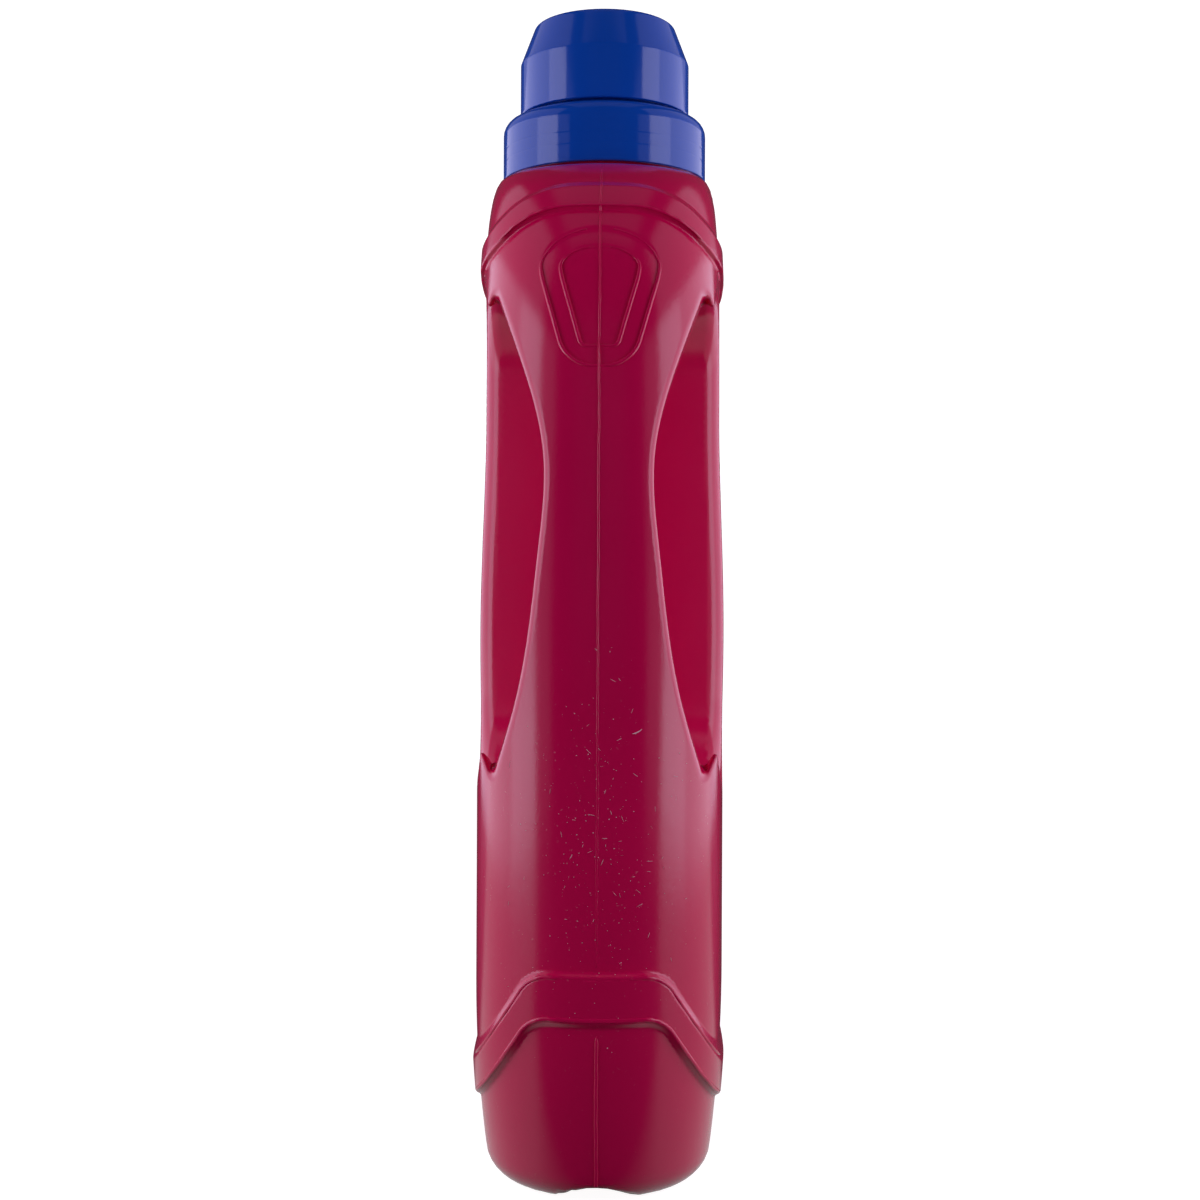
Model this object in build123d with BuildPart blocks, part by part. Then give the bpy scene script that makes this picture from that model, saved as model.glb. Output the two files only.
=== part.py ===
from build123d import *
import os
from math import cos, radians, sin, sqrt, tan

os.makedirs("parts", exist_ok=True)

# Millimetres. Z is up, the grip bar is on +X, the label faces look along +Y and -Y.
# Body form
body_width = 148.0
body_depth = 64.0
face_radius = 520.0
end_depth = 25.0
wall = 1.4
grip_wall = 2.2
foot_height = 50.0
foot_flare_x = 8.0
foot_flare_y = 3.7
foot_round = 8.0
mid_height = 125.0
shoulder_z = 194.0
shoulder_top = 255.5
shoulder_land_x = 31.0
shoulder_land_y = 25.8
shoulder_lean = 0.9
channel_half_width = 10.0
channel_depth = 2.2

# Raised bands, seen from the narrow side as arches
base_band_rise = 1.6
base_band_peak = 54.5
base_band_height = 11.5
base_band_flat = 15.3
base_band_slope = 1.45
base_band_corner = 8.0
shoulder_band_rise = 0.9
shoulder_band_drop = 11.0
shoulder_band_height = 6.6
shoulder_band_flat = 16.0
shoulder_band_slope = 0.8
shoulder_band_corner = 26.0
band_round = 0.7

# Grip
bar_thickness = 28.5
hole_width = 25.0
hole_low = 106.0
hole_high = 213.0
hole_corner = 12.0
hole_draft = 16.0
waist_below_top = 36.0
waist_depth = 18.9
tip_depth = 6.5
tip_lift = 2.3
tip_round = 3.0
flank_start = 7.0
grip_round = 4.0

# Thumb rest on the bar's shoulder, a drop with an elliptical head
thumb_above_hole = 8.5
thumb_half = 14.2
thumb_head = 10.4
thumb_length = 23.5
thumb_tail_half = 7.6
thumb_tail_round = 5.9
thumb_margin = 4.6
thumb_step = 0.35

# Neck
neck_radius = 24.6
neck_wall = 2.2
neck_root = 4.0
neck_seat_gap = 0.3
neck_bead = 0.6
neck_bead_height = 2.0
neck_bead_lift = 2.1

# Pouring collar
collar_gap = 1.5
collar_radius = 27.5
collar_height = 16.4
collar_wall = 1.5
collar_round = 4.0
ring_depth = 0.2
ring_width = 0.6
ring_lift = 4.8
ring_pitch = 3.1
snap_clearance = 0.25
snap_lift = 2.9
snap_height = 1.4
bowl_clearance = 0.35
bowl_wall = 1.5
bowl_depth = 13.5
bowl_drop = 2.0
bowl_plate = 1.5
spout_radius = 10.5
spout_wall = 1.3
spout_reach = 16.0
spout_heel_lift = 5.5
spout_tail = 11.5
drain_width = 5.0
drain_length = 7.0

# Dosing cap
cap_gap = 1.2
cap_radius = 22.9
cap_wall = 1.5
cap_skirt = 15.4
cap_cone = 8.6
cap_crown_radius = 18.8
cap_dome = 2.9
cap_edge_round = 1.8
cap_groove_roof = 3.5
plug_lift = 3.0
plug_clearance = 0.6
plug_wall = 1.4

half_depth = body_depth / 2
half_width = body_width / 2
shoulder_band_top = shoulder_top - shoulder_band_drop

hole_x = half_width - bar_thickness - hole_width / 2
bar_cut_x = hole_x + flank_start
waist_z = hole_high - waist_below_top
waist_half = half_depth - waist_depth
tip_half = half_depth - tip_depth
draft_rate = tan(radians(hole_draft))
thumb_z = hole_high + thumb_above_hole
thumb_low = thumb_z - thumb_length

neck_low = shoulder_top - neck_root
collar_low = shoulder_top + collar_gap
collar_top = collar_low + collar_height
neck_top = collar_top - collar_wall - neck_seat_gap
neck_bore = neck_radius - neck_wall
snap_low = collar_low + snap_lift
bead_low = snap_low + snap_height + neck_bead_lift
bead_high = bead_low + neck_bead_height
ring_low = collar_low + ring_lift
bowl_outer = neck_bore - bowl_clearance
bowl_inner = bowl_outer - bowl_wall
bowl_floor = collar_top - bowl_depth
skirt_inner = collar_radius - collar_wall
snap_inner = neck_radius + snap_clearance
spout_tip = collar_top + spout_reach
spout_heel = bowl_floor + spout_heel_lift
spout_low = bowl_floor - spout_tail

cap_low = collar_top + cap_gap
cap_waist = cap_low + cap_skirt
cap_cone_top = cap_waist + cap_cone
cap_top = cap_cone_top + cap_dome
cap_inner = cap_radius - cap_wall
cap_groove_top = cap_waist - cap_groove_roof
plug_low = bowl_floor + plug_lift
plug_outer = bowl_inner - plug_clearance
plug_inner = plug_outer - plug_wall
channel_radius = (channel_half_width**2 + channel_depth**2) / (2 * channel_depth)


def ring(height, half_x, half_y):
    # crowned label faces joined by full, rounded narrow ends
    end = min(end_depth, 0.62 * half_x)
    edge_x = half_x - end
    edge_y = half_y - face_radius + sqrt(face_radius**2 - edge_x**2)
    turn = edge_x / sqrt(face_radius**2 - edge_x**2)
    pull = 0.95 * end
    pull_y = edge_y - turn * pull
    tip_x = half_x + 0.6 * end - 0.5 * pull
    tip_y = 0.54 * edge_y
    with BuildSketch(Plane.XY.offset(height)) as outline:
        with BuildLine():
            ThreePointArc((-edge_x, edge_y), (0, half_y), (edge_x, edge_y))
            Bezier(
                (edge_x, edge_y),
                (edge_x + pull, pull_y),
                (tip_x, tip_y),
                (tip_x, -tip_y),
                (edge_x + pull, -pull_y),
                (edge_x, -edge_y),
            )
            ThreePointArc((edge_x, -edge_y), (0, -half_y), (-edge_x, -edge_y))
            Bezier(
                (-edge_x, -edge_y),
                (-edge_x - pull, -pull_y),
                (-tip_x, -tip_y),
                (-tip_x, tip_y),
                (-edge_x - pull, pull_y),
                (-edge_x, edge_y),
            )
        make_face()
    return outline.sketch


def body_rings(inset):
    # foot: both half-sizes shrink with the square of the height left to the straight wall
    rings = []
    for height in (0.0, 0.25 * foot_height, 0.55 * foot_height, foot_height):
        left = (1 - height / foot_height) ** 2
        level = max(height, inset) if height == 0 else height
        half_x = half_width - foot_flare_x * left - inset
        half_y = half_depth - foot_flare_y * left - inset
        rings.append(ring(level, half_x, half_y))
    rings.append(ring(mid_height, half_width - inset, half_depth - inset))
    # shoulder: a quarter wave from the straight wall to the land round the neck
    shoulder_depth = half_depth - shoulder_lean
    for angle in (0, 18, 34, 48, 61, 74, 90):
        side = max(cos(radians(angle)), 0.0)
        level = shoulder_z + (shoulder_top - inset - shoulder_z) * sin(radians(angle))
        half_x = shoulder_land_x + (half_width - shoulder_land_x) * side**1.1 - inset
        half_y = shoulder_land_y + (shoulder_depth - shoulder_land_y) * side**0.7 - inset
        rings.append(ring(level, half_x, half_y))
    return rings


def body_form(inset):
    with BuildPart() as form:
        loft(body_rings(inset))
    return form.part


def finger_hole(inset):
    # drafted both ways from the parting plane
    with BuildPart() as hole:
        with BuildSketch(Plane.XZ) as opening:
            with Locations((hole_x, (hole_low + hole_high) / 2)):
                Rectangle(hole_width + 2 * inset, hole_high - hole_low + 2 * inset)
            fillet(opening.vertices(), hole_corner + inset)
        extrude(amount=body_depth, both=True, taper=-hole_draft)
    return hole.part


def bar_flank(inset):
    # hour-glass outline of the grip bar, seen from the narrow side; everything outside it is taken away
    outside = body_depth
    tip = tip_half - inset
    swell = tip_half - waist_half
    low = hole_low - tip_half * draft_rate + tip_lift - inset
    high = hole_high + tip_half * draft_rate - tip_lift + inset
    lower_reach = waist_z - low
    upper_reach = high - waist_z
    edge_fall = (half_depth + 1 - tip) * draft_rate
    with BuildPart() as flank:
        with BuildSketch(Plane.YZ.offset(bar_cut_x - inset)) as outline:
            with BuildLine():
                Spline(
                    (tip, low),
                    (tip - 0.49 * swell, low + 0.26 * lower_reach),
                    (tip - 0.9 * swell, low + 0.71 * lower_reach),
                    (tip - swell, waist_z),
                    (tip - 0.57 * swell, high - 0.46 * upper_reach),
                    (tip, high),
                )
                Polyline(
                    (tip, high),
                    (half_depth + 1, high + edge_fall),
                    (outside, high + edge_fall),
                    (outside, low - edge_fall),
                    (half_depth + 1, low - edge_fall),
                    (tip, low),
                )
            make_face()
            fillet(outline.vertices().filter_by_position(Axis.X, tip - 0.1, tip + 0.1), tip_round)
        extrude(amount=body_width)
    return flank.part


def band(upper_peak, lower_peak, flat, slope, corner, rise):
    # an arched strip, drawn in the YZ plane and run through the whole width, kept to a skin on the body
    reach = 2 * half_depth
    with BuildPart() as strip:
        with BuildSketch(Plane.YZ.offset(-body_width)) as outline:
            with BuildLine():
                Polyline(
                    (-reach, lower_peak - slope * (reach - flat)),
                    (-flat, lower_peak),
                    (flat, lower_peak),
                    (reach, lower_peak - slope * (reach - flat)),
                    (reach, upper_peak - slope * (reach - flat)),
                    (flat, upper_peak),
                    (-flat, upper_peak),
                    (-reach, upper_peak - slope * (reach - flat)),
                    close=True,
                )
            make_face()
            fillet(outline.vertices().filter_by_position(Axis.X, -flat - 1, flat + 1), corner)
        extrude(amount=2 * body_width)
        add(body_form(-rise), mode=Mode.INTERSECT)
        fillet(strip.edges(Select.NEW), band_round)
    return strip.part


def thumb_pad(margin, depth):
    # a drop-shaped outline on the narrow side, sunk to an even depth
    head_half = thumb_half - margin
    side_slope = (thumb_half - thumb_tail_half) / thumb_length
    tail_half = thumb_tail_half - margin * (1 - side_slope)
    tail_low = thumb_low + margin
    with BuildPart() as pad:
        with BuildSketch(Plane.YZ.offset(bar_cut_x)) as outline:
            with BuildLine():
                EllipticalCenterArc((0, thumb_z), head_half, thumb_head - margin, arc_size=180)
                Polyline(
                    (-head_half, thumb_z),
                    (-tail_half, tail_low),
                    (tail_half, tail_low),
                    (head_half, thumb_z),
                )
            make_face()
            fillet(outline.vertices().sort_by(Axis.Y)[:2], thumb_tail_round - margin)
        extrude(amount=body_width)
        add(body_form(depth), mode=Mode.SUBTRACT)
    return pad.part


form = body_form(0)
cavity = body_form(wall)
base_band = band(
    base_band_peak,
    base_band_peak - base_band_height,
    base_band_flat,
    base_band_slope,
    base_band_corner,
    base_band_rise,
)
shoulder_band = band(
    shoulder_band_top,
    shoulder_band_top - shoulder_band_height,
    shoulder_band_flat,
    shoulder_band_slope,
    shoulder_band_corner,
    shoulder_band_rise,
)
hole = finger_hole(0)
flank = bar_flank(0)
cavity_hole = finger_hole(grip_wall)
cavity_flank = bar_flank(grip_wall)
pad_rim = thumb_pad(0, thumb_step)
pad_floor = thumb_pad(thumb_margin, 2 * thumb_step)

with BuildPart() as hollow_block:
    add(cavity)
    fillet(hollow_block.faces().sort_by(Axis.Z)[0].edges(), foot_round - wall)
    add([cavity_hole, cavity_flank, cavity_flank.mirror(Plane.XZ)], mode=Mode.SUBTRACT)
    with BuildSketch(Plane.YZ.offset(-body_width)):
        with Locations((0, channel_depth - channel_radius)):
            Circle(channel_radius + wall)
    extrude(amount=2 * body_width, mode=Mode.SUBTRACT)
    with BuildSketch(Plane.XY.offset(neck_low - wall)):
        Circle(neck_bore)
    extrude(amount=neck_top - neck_low + 2 * wall)
hollow = hollow_block.part

with BuildPart() as bottle:
    add(form)
    fillet(bottle.faces().sort_by(Axis.Z)[0].edges(), foot_round)
    add([shoulder_band, base_band])
    add([hole, flank, flank.mirror(Plane.XZ)], mode=Mode.SUBTRACT)
    grip_edges = [
        edge
        for edge in bottle.edges(Select.NEW)
        if min(abs((edge @ 0).Y), abs((edge @ 0.5).Y), abs((edge @ 1).Y)) > 1
    ]
    fillet(grip_edges, grip_round)
    add([pad_rim, pad_floor], mode=Mode.SUBTRACT)
    with BuildSketch(Plane.YZ.offset(-body_width)):
        with Locations((0, channel_depth - channel_radius)):
            Circle(channel_radius)
    extrude(amount=2 * body_width, mode=Mode.SUBTRACT)
    with BuildSketch(Plane.XY.offset(neck_low)):
        Circle(neck_radius)
    extrude(amount=neck_top - neck_low)
    with BuildSketch(Plane.XZ):
        with BuildLine():
            ThreePointArc(
                (neck_radius, bead_low),
                (neck_radius + neck_bead, (bead_low + bead_high) / 2),
                (neck_radius, bead_high),
            )
            Polyline(
                (neck_radius, bead_high),
                (neck_radius - 0.5, bead_high),
                (neck_radius - 0.5, bead_low),
                (neck_radius, bead_low),
            )
        make_face()
    revolve(axis=Axis.Z)
    add(hollow, mode=Mode.SUBTRACT)
bottle.part.label = "bottle"
export_step(bottle.part, "parts/bottle.step")

with BuildPart() as pour_spout:
    with BuildSketch(Plane.XZ) as section:
        with BuildLine():
            Polyline(
                (skirt_inner, collar_low),
                (collar_radius, collar_low),
                (collar_radius, collar_top - collar_round),
            )
            RadiusArc(
                (collar_radius, collar_top - collar_round),
                (collar_radius - collar_round, collar_top),
                -collar_round,
            )
            Polyline(
                (collar_radius - collar_round, collar_top),
                (bowl_inner, collar_top),
                (bowl_inner, bowl_floor),
                (spout_radius, bowl_floor - bowl_drop),
                (spout_radius, spout_tip),
                (spout_radius - spout_wall, spout_tip),
                (spout_radius - spout_wall, spout_low),
                (spout_radius, spout_low),
                (spout_radius, bowl_floor - bowl_drop - bowl_plate),
                (bowl_outer, bowl_floor - bowl_plate),
                (bowl_outer, collar_top - collar_wall),
                (skirt_inner, collar_top - collar_wall),
                (skirt_inner, snap_low + snap_height),
                (snap_inner, snap_low + snap_height / 2),
                (skirt_inner, snap_low),
                (skirt_inner, collar_low),
            )
        make_face()
    revolve(axis=Axis.Z)
    # the spout is cut back on the grip side so that it pours away from the grip
    with BuildSketch(Plane.XZ):
        with BuildLine():
            Polyline(
                (-spout_radius - 0.5, spout_tip - 0.8),
                (-spout_radius + 1.2, spout_tip - 0.8),
                (spout_radius + 0.5, spout_heel),
                (spout_radius + 0.5, spout_tip + 1),
                (-spout_radius - 0.5, spout_tip + 1),
                close=True,
            )
        make_face()
    extrude(amount=spout_radius + 0.5, both=True, mode=Mode.SUBTRACT)
    # drain slot in the bowl floor
    with BuildSketch(Plane.XY.offset(bowl_floor + 1)):
        with Locations(((spout_radius + bowl_inner) / 2, 0)):
            SlotOverall(drain_length, drain_width, rotation=90)
    extrude(amount=-bowl_drop - bowl_plate - 3, mode=Mode.SUBTRACT)
    # two fine rings round the skirt
    with BuildSketch(Plane.XZ):
        with Locations((collar_radius, ring_low), (collar_radius, ring_low + ring_pitch)):
            Rectangle(2 * ring_depth, ring_width)
    revolve(axis=Axis.Z, mode=Mode.SUBTRACT)
pour_spout.part.label = "pour_spout"
export_step(pour_spout.part, "parts/pour_spout.step")

with BuildPart() as dosing_cap:
    with BuildSketch(Plane.XZ) as section:
        with BuildLine():
            Polyline(
                (plug_inner, plug_low),
                (plug_outer, plug_low),
                (plug_outer, cap_groove_top),
                (cap_inner, cap_groove_top),
                (cap_inner, cap_low),
                (cap_radius, cap_low),
                (cap_radius, cap_waist),
                (cap_crown_radius, cap_cone_top),
            )
            TangentArc((0, cap_top), (cap_crown_radius, cap_cone_top), tangent=(1, 0))
            Polyline((0, cap_top), (0, cap_top - cap_wall))
            TangentArc(
                (0, cap_top - cap_wall),
                (cap_crown_radius - cap_wall, cap_cone_top - cap_wall),
                tangent=(1, 0),
            )
            Polyline(
                (cap_crown_radius - cap_wall, cap_cone_top - cap_wall),
                (plug_inner, cap_groove_top + cap_wall),
                (plug_inner, plug_low),
            )
        make_face()
        crown = section.vertices().sort_by_distance((cap_crown_radius, cap_cone_top))[0]
        fillet(crown, cap_edge_round)
    revolve(axis=Axis.Z)
dosing_cap.part.label = "dosing_cap"
export_step(dosing_cap.part, "parts/dosing_cap.step")
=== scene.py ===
import math
import bpy
import numpy as np
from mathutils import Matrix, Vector


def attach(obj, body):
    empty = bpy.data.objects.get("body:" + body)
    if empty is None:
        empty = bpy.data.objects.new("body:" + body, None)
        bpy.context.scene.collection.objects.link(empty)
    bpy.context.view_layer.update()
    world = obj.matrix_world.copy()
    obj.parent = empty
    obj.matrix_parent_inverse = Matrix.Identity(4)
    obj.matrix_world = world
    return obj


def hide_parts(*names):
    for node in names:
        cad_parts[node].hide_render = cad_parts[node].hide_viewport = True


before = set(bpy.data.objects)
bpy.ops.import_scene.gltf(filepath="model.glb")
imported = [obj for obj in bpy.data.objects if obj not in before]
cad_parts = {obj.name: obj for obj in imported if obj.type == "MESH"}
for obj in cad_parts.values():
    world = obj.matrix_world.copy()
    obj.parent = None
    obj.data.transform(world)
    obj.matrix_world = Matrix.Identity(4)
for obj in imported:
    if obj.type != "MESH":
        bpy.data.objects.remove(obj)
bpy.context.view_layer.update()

mm = 0.001  # lengths in the piece dictionaries are millimetres, the meshes are metres
tiny = 1e-6  # keeps divisions and comparisons safe


def smoothStep(t):  # 3 t^2 - 2 t^3 between 0 and 1
    t = np.clip(t, 0.0, 1.0)
    return t * t * (3.0 - 2.0 * t)


def roundMax(a, b, r):  # two walls meeting in an outside corner of radius r
    return np.minimum(np.maximum(a, b), -r) + np.hypot(np.maximum(a + r, 0.0), np.maximum(b + r, 0.0))


def softMax(a, b, k):  # the larger distance, eased where the two differ by less than k
    return np.maximum(a, b) + np.maximum(k - np.abs(a - b), 0.0) ** 2 / (4.0 * k)


def makeObject(name, vertices, faces, smooth=True, normals=None):
    mesh = bpy.data.meshes.new(name)
    vertices = np.asarray(vertices, np.float32)
    faces = np.asarray(faces, np.int32)
    sides = faces.shape[1]
    mesh.vertices.add(len(vertices))
    mesh.vertices.foreach_set("co", vertices.ravel())
    mesh.loops.add(faces.size)
    mesh.loops.foreach_set("vertex_index", faces.ravel())
    mesh.polygons.add(len(faces))
    mesh.polygons.foreach_set("loop_start", np.arange(len(faces), dtype=np.int32) * sides)
    mesh.polygons.foreach_set("loop_total", np.full(len(faces), sides, np.int32))
    mesh.update(calc_edges=True)
    mesh.validate()
    if smooth:
        mesh.polygons.foreach_set("use_smooth", np.ones(len(mesh.polygons), bool))
    if normals is not None:
        mesh.normals_split_custom_set_from_vertices(np.asarray(normals, float).tolist())
    piece = bpy.data.objects.new(name, mesh)
    bpy.context.scene.collection.objects.link(piece)
    return piece


def place(piece, body, node, material):
    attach(piece, body)
    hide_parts(node)
    piece.data.materials.clear()
    piece.data.materials.append(material)


# materials
def newMaterial(name):
    material = bpy.data.materials.new(name)
    material.use_nodes = True
    return material, material.node_tree, material.node_tree.nodes["Principled BSDF"]


def addNode(tree, kind, **values):
    node = tree.nodes.new(kind)
    for key, value in values.items():
        setattr(node, key, value)
    return node


def newGroup(name, inputs, outputs):
    group = bpy.data.node_groups.new(name, "ShaderNodeTree")
    for label, kind in inputs:
        group.interface.new_socket(label, in_out="INPUT", socket_type=kind)
    for label, kind in outputs:
        group.interface.new_socket(label, in_out="OUTPUT", socket_type=kind)
    return group, group.nodes.new("NodeGroupInput"), group.nodes.new("NodeGroupOutput")


def useGroup(tree, group, vector):
    node = addNode(tree, "ShaderNodeGroup", node_tree=group)
    tree.links.new(vector, node.inputs["Vector"])
    return node


def objectPoint(tree):
    return addNode(tree, "ShaderNodeTexCoord").outputs["Object"]


def noise(tree, vector, scale, detail, rough=0.5):  # scale is per metre
    node = addNode(tree, "ShaderNodeTexNoise")
    node.inputs["Scale"].default_value = scale
    node.inputs["Detail"].default_value = detail
    node.inputs["Roughness"].default_value = rough
    tree.links.new(vector, node.inputs["Vector"])
    return node.outputs["Fac"]


def remap(tree, value, low, high, toLow, toHigh):
    node = addNode(tree, "ShaderNodeMapRange", interpolation_type="SMOOTHSTEP")
    for key, number in (("From Min", low), ("From Max", high), ("To Min", toLow), ("To Max", toHigh)):
        node.inputs[key].default_value = number
    tree.links.new(value, node.inputs["Value"])
    return node.outputs["Result"]


def feed(tree, socket, value):  # a number or a colour is set, an output is linked
    if isinstance(value, (int, float, tuple)):
        socket.default_value = value
    else:
        tree.links.new(value, socket)


def math2(tree, operation, a, b):
    node = addNode(tree, "ShaderNodeMath", operation=operation)
    feed(tree, node.inputs[0], a)
    feed(tree, node.inputs[1], b)
    return node.outputs[0]


def mixColour(tree, factor, a, b):
    node = addNode(tree, "ShaderNodeMix", data_type="RGBA")
    for index, value in ((0, factor), (6, a), (7, b)):  # 6 and 7 are the colour sockets
        feed(tree, node.inputs[index], value)
    return node.outputs[2]


def grey(value):
    return (value, value, value, 1)


def bump(tree, shader, height, strength, distance):
    node = addNode(tree, "ShaderNodeBump")
    node.inputs["Strength"].default_value = strength
    node.inputs["Distance"].default_value = distance
    tree.links.new(height, node.inputs["Height"])
    tree.links.new(node.outputs["Normal"], shader.inputs["Normal"])


# noises are (scale, detail, roughness), ramps are (from, to, value before, value after)
mouldGrain = dict(pits=(2600.0, 2.0, 0.6), swell=(95.0, 2.0), swellShare=0.8, drift=(28.0, 3.0))


def grainGroup():  # satin grain of a blasted mould: fine pits over a slow swell
    c = mouldGrain
    group, enter, leave = newGroup("mouldGrain", [("Vector", "NodeSocketVector")],
                                   [("Height", "NodeSocketFloat"), ("Drift", "NodeSocketFloat")])
    where = enter.outputs["Vector"]
    swell = math2(group, "MULTIPLY", noise(group, where, *c["swell"]), c["swellShare"])
    group.links.new(math2(group, "ADD", noise(group, where, *c["pits"]), swell), leave.inputs["Height"])
    group.links.new(noise(group, where, *c["drift"]), leave.inputs["Drift"])
    return group


scuffing = dict(
    specks=(1150.0, 1.0), speckRamp=(0.69, 0.76, 0.0, 1.0),
    patches=(130.0, 2.0), patchRamp=(0.46, 0.62, 0.15, 1.0),
    footRamp=(0.028, 0.07, 0.25, 1.0), topRamp=(0.1, 0.15, 1.0, 0.06), frontRamp=(0.03, 0.068, 0.1, 1.0))


def scuffGroup():  # rubbed specks and short scuffs, thickest low on the narrow side
    c = scuffing
    group, enter, leave = newGroup("scuffs", [("Vector", "NodeSocketVector")], [("Mask", "NodeSocketFloat")])
    where = enter.outputs["Vector"]
    split = addNode(group, "ShaderNodeSeparateXYZ")
    group.links.new(where, split.inputs[0])
    low = math2(group, "MULTIPLY", remap(group, split.outputs["Z"], *c["footRamp"]),
                remap(group, split.outputs["Z"], *c["topRamp"]))
    front = remap(group, split.outputs["X"], *c["frontRamp"])
    specks = remap(group, noise(group, where, *c["specks"]), *c["speckRamp"])
    patches = remap(group, noise(group, where, *c["patches"]), *c["patchRamp"])
    marks, zone = math2(group, "MULTIPLY", specks, patches), math2(group, "MULTIPLY", low, front)
    group.links.new(math2(group, "MULTIPLY", marks, zone), leave.inputs["Mask"])
    return group


grain, scuffs = grainGroup(), scuffGroup()

crimsonFinish = dict(
    deep=(0.64, 0.0004, 0.073, 1), bright=(0.71, 0.0005, 0.084, 1), roughRamp=(0.3, 0.7, 0.12, 0.155),
    rubbed=(0.72, 0.25, 0.33, 1), rubShare=0.25, rubRough=0.2, ior=1.52,
    grainStrength=0.16, grainDepth=0.00012)


def bottleMaterial():
    c = crimsonFinish
    material, tree, shader = newMaterial("satinCrimson")
    where = objectPoint(tree)
    skin, wear = useGroup(tree, grain, where), useGroup(tree, scuffs, where).outputs["Mask"]
    tone = mixColour(tree, skin.outputs["Drift"], c["deep"], c["bright"])
    rubbed = mixColour(tree, math2(tree, "MULTIPLY", wear, c["rubShare"]), tone, c["rubbed"])
    tree.links.new(rubbed, shader.inputs["Base Color"])
    rough = remap(tree, skin.outputs["Drift"], *c["roughRamp"])
    rough = math2(tree, "ADD", rough, math2(tree, "MULTIPLY", wear, c["rubRough"]))
    tree.links.new(rough, shader.inputs["Roughness"])
    shader.inputs["IOR"].default_value = c["ior"]
    bump(tree, shader, skin.outputs["Height"], c["grainStrength"], c["grainDepth"])
    return material


blueFinish = dict(
    deep=(0.003, 0.068, 0.44, 1), bright=(0.004, 0.078, 0.50, 1), roughRamp=(0.3, 0.7, 0.08, 0.13), ior=1.5,
    grainStrength=0.05, grainDepth=0.0001)


def capMaterial():
    c = blueFinish
    material, tree, shader = newMaterial("glossBlue")
    skin = useGroup(tree, grain, objectPoint(tree))
    tone = mixColour(tree, skin.outputs["Drift"], c["deep"], c["bright"])
    tree.links.new(tone, shader.inputs["Base Color"])
    tree.links.new(remap(tree, skin.outputs["Drift"], *c["roughRamp"]), shader.inputs["Roughness"])
    shader.inputs["IOR"].default_value = c["ior"]
    bump(tree, shader, skin.outputs["Height"], c["grainStrength"], c["grainDepth"])
    return material


dustFinish = dict(deep=(0.74, 0.34, 0.40, 1), bright=(0.90, 0.66, 0.70, 1), roughness=0.7)


def dustMaterial():
    c = dustFinish
    material, tree, shader = newMaterial("paleDust")
    skin = useGroup(tree, grain, objectPoint(tree))
    tone = mixColour(tree, skin.outputs["Drift"], c["deep"], c["bright"])
    tree.links.new(tone, shader.inputs["Base Color"])
    shader.inputs["Roughness"].default_value = c["roughness"]
    return material


crimson, blue, dust = bottleMaterial(), capMaterial(), dustMaterial()
print("materials done")

# bottle skin: the Distance functions take points (x, y, z) in millimetres
# below 0 is inside the form, unless a note says otherwise
bottle = dict(
    halfWidth=74.0, halfDepth=32.3, faceRadius=520.0, endDepth=29.0, endShare=0.62,
    footHeight=50.0, footFlareX=8.0, footFlareY=3.7, footRound=6.6,
    midHeight=125.0, lean=0.9, belly=0.6, bellyLow=92.0, bellyRun=100.0,
    shoulderZ=194.0, shoulderTop=255.5, shoulderEnd=0.9995, bulgeX=1.1, bulgeY=0.7,
    landX=31.0, landY=25.8, landRound=4.5,
    channelHalf=9.0, channelDepth=3.9, channelRound=1.5, wall=1.4, innerRound=2.0)

# control points of the narrow end, as shares of the end's depth and of the section's half depth
endCurve = dict(x=(0.0, 0.775, 1.2125, 1.2125, 0.775, 0.0), y=(1.0, 0.936, 0.485, -0.485, -0.936, -1.0),
                steps=600)


def endShape():  # first half of that quintic Bezier, as radius over angle
    t = np.linspace(0.0, 0.5, endCurve["steps"])
    bezier = np.array([math.comb(5, k) * (1 - t) ** (5 - k) * t**k for k in range(6)])
    x, y = np.array(endCurve["x"]) @ bezier, np.array(endCurve["y"]) @ bezier
    return np.arctan2(y, x)[::-1], np.hypot(x, y)[::-1]


endAngle, endRadius = endShape()


# half width and half depth: squared flare at the foot, soft belly, shoulder as powers of a circle
def bodyHalves(z):
    b = bottle
    flare = np.clip(1.0 - z / b["footHeight"], 0.0, None) ** 2
    rise = np.clip((z - b["shoulderZ"]) / (b["shoulderTop"] - b["shoulderZ"]), 0.0, b["shoulderEnd"])
    side = np.sqrt(1.0 - rise**2)
    shoulderDepth = b["halfDepth"] - b["lean"]
    fall = smoothStep((z - b["midHeight"]) / (b["shoulderZ"] - b["midHeight"])) * b["lean"]
    fall = fall - b["belly"] * np.sin(np.pi * np.clip((z - b["bellyLow"]) / b["bellyRun"], 0.0, 1.0)) ** 2
    halfX = np.where(z < b["shoulderZ"], b["halfWidth"] - b["footFlareX"] * flare,
                     b["landX"] + (b["halfWidth"] - b["landX"]) * side ** b["bulgeX"])
    halfY = np.where(z < b["shoulderZ"], b["halfDepth"] - b["footFlareY"] * flare - fall,
                     b["landY"] + (shoulderDepth - b["landY"]) * side ** b["bulgeY"])
    return halfX, halfY


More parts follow.
